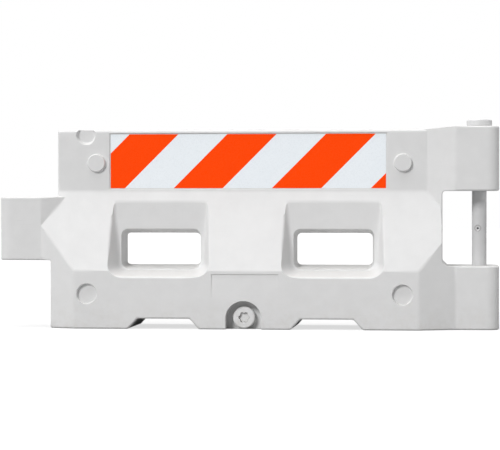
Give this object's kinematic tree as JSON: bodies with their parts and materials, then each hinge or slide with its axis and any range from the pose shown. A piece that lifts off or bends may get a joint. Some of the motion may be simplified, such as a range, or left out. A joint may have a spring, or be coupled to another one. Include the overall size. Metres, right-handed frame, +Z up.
{
  "type": "traffic barricade",
  "caption": "Water-filled interlocking traffic barricade with striped reflective sheets, fork windows, a tab and knuckle hinge and a lift-out pin.",
  "frame": {"origin": "on the ground, midway between the two hinge axes and in the middle plane", "axes": "+X along the section from the tab to the two knuckles, -Y the front with the drain plug, +Z up"},
  "size_m": [2.18, 0.38, 0.9073],
  "materials": {
    "shell_plastic": "natural moulded polyethylene, satin",
    "white_sheeting": "white retroreflective sheeting",
    "orange_film": "orange retroreflective sheeting",
    "neck_plastic": "moulded-in threaded neck",
    "gasket_rubber": "black rubber",
    "cap_plastic": "white injection-moulded plastic",
    "pin_plastic": "light grey plastic tube"
  },
  "bodies": {
    "shell": {"body_shell": "shell_plastic", "front_sheet": "white_sheeting", "front_stripe_1": "orange_film", "front_stripe_2": "orange_film", "front_stripe_3": "orange_film", "front_stripe_4": "orange_film", "rear_sheet": "white_sheeting", "rear_stripe_1": "orange_film", "rear_stripe_2": "orange_film", "rear_stripe_3": "orange_film", "rear_stripe_4": "orange_film", "fill_neck": "neck_plastic", "drain_neck": "neck_plastic"},
    "pin": {"pin_tube": "pin_plastic", "pin_head": "pin_plastic", "pin_nose_plug": "pin_plastic"},
    "fill_seal": {"fill_gasket": "gasket_rubber"},
    "fill_cap": {"fill_cap": "cap_plastic"},
    "drain_seal": {"drain_gasket": "gasket_rubber"},
    "drain_plug": {"drain_plug": "cap_plastic"}
  },
  "joints": [
    {"name": "pin_lift", "type": "slide", "parent": "shell", "child": "pin", "axis": [0, 0, 1], "range_m": [0, 0.9]},
    {"name": "fill_cap_rise", "type": "slide", "parent": "shell", "child": "fill_seal", "axis": [0, 0, 1], "range_m": [0, 0.0391]},
    {"name": "fill_cap_turn", "type": "hinge", "parent": "fill_seal", "child": "fill_cap", "pos_m": [-0.712, 0, 0.85], "axis": [0, 0, 1], "range_deg": [0, 2160]},
    {"name": "drain_plug_out", "type": "slide", "parent": "shell", "child": "drain_seal", "axis": [0, -1, 0], "range_m": [0, 0.0391]},
    {"name": "drain_plug_turn", "type": "hinge", "parent": "drain_seal", "child": "drain_plug", "pos_m": [-0.006, -0.137, 0.051], "axis": [0, -1, 0], "range_deg": [0, 2160]}
  ],
  "couplings": [
    {"joint": "fill_cap_rise", "follows": "fill_cap_turn", "m_per_rad": 0.0010345},
    {"joint": "drain_plug_out", "follows": "drain_plug_turn", "m_per_rad": 0.0010345}
  ]
}
